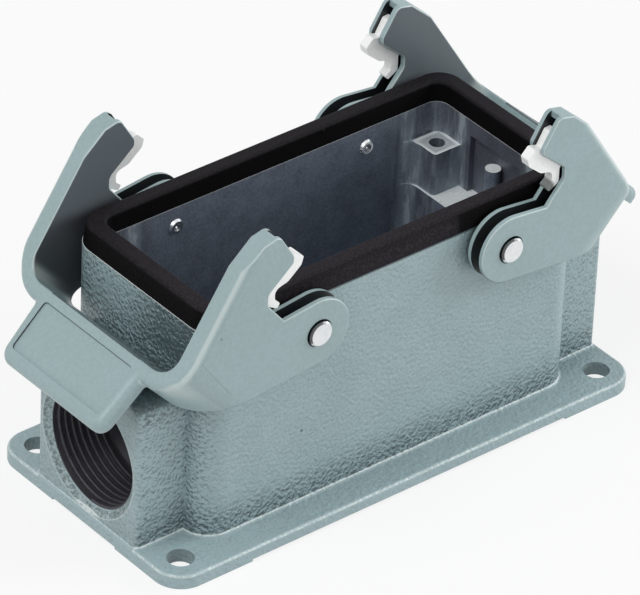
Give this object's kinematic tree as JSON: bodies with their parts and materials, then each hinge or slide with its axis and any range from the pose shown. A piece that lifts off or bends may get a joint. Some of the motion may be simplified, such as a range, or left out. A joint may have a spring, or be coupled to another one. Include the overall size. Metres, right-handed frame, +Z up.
{
  "type": "rectangular connector housing",
  "caption": "Cast rectangular connector housing for surface mounting, with a threaded side cable entry, a rim seal and pivoting locking levers.",
  "frame": {"origin": "middle of the base face, where the corner pads rest on the mounting surface", "axes": "+X along the housing from the cable entry to the blank boss, +Y across it, +Z up to the hood"},
  "size_m": [0.1354, 0.057, 0.0718],
  "materials": {
    "grey_coat": "fine hammered powder coat outside, bare casting inside",
    "seal_rubber": "matte black",
    "lever_plastic": "satin light grey",
    "catch_steel": "bright sheet",
    "pin_steel": "polished"
  },
  "bodies": {
    "base": {"housing": "grey_coat", "gasket": "seal_rubber", "left_front_pin": "pin_steel", "left_rear_pin": "pin_steel", "right_front_pin": "pin_steel", "right_rear_pin": "pin_steel"},
    "left_lever_body": {"left_lever": "lever_plastic", "left_front_catch": "catch_steel", "left_rear_catch": "catch_steel"},
    "right_lever_body": {"right_lever": "lever_plastic", "right_front_catch": "catch_steel", "right_rear_catch": "catch_steel"}
  },
  "joints": [
    {"name": "left_lever_pivot", "type": "hinge", "parent": "base", "child": "left_lever_body", "pos_m": [-0.02375, 0, 0.0458], "axis": [0, 1, 0], "range_deg": [0, 43]},
    {"name": "right_lever_pivot", "type": "hinge", "parent": "base", "child": "right_lever_body", "pos_m": [0.02375, 0, 0.0458], "axis": [0, -1, 0], "range_deg": [0, 43]}
  ]
}
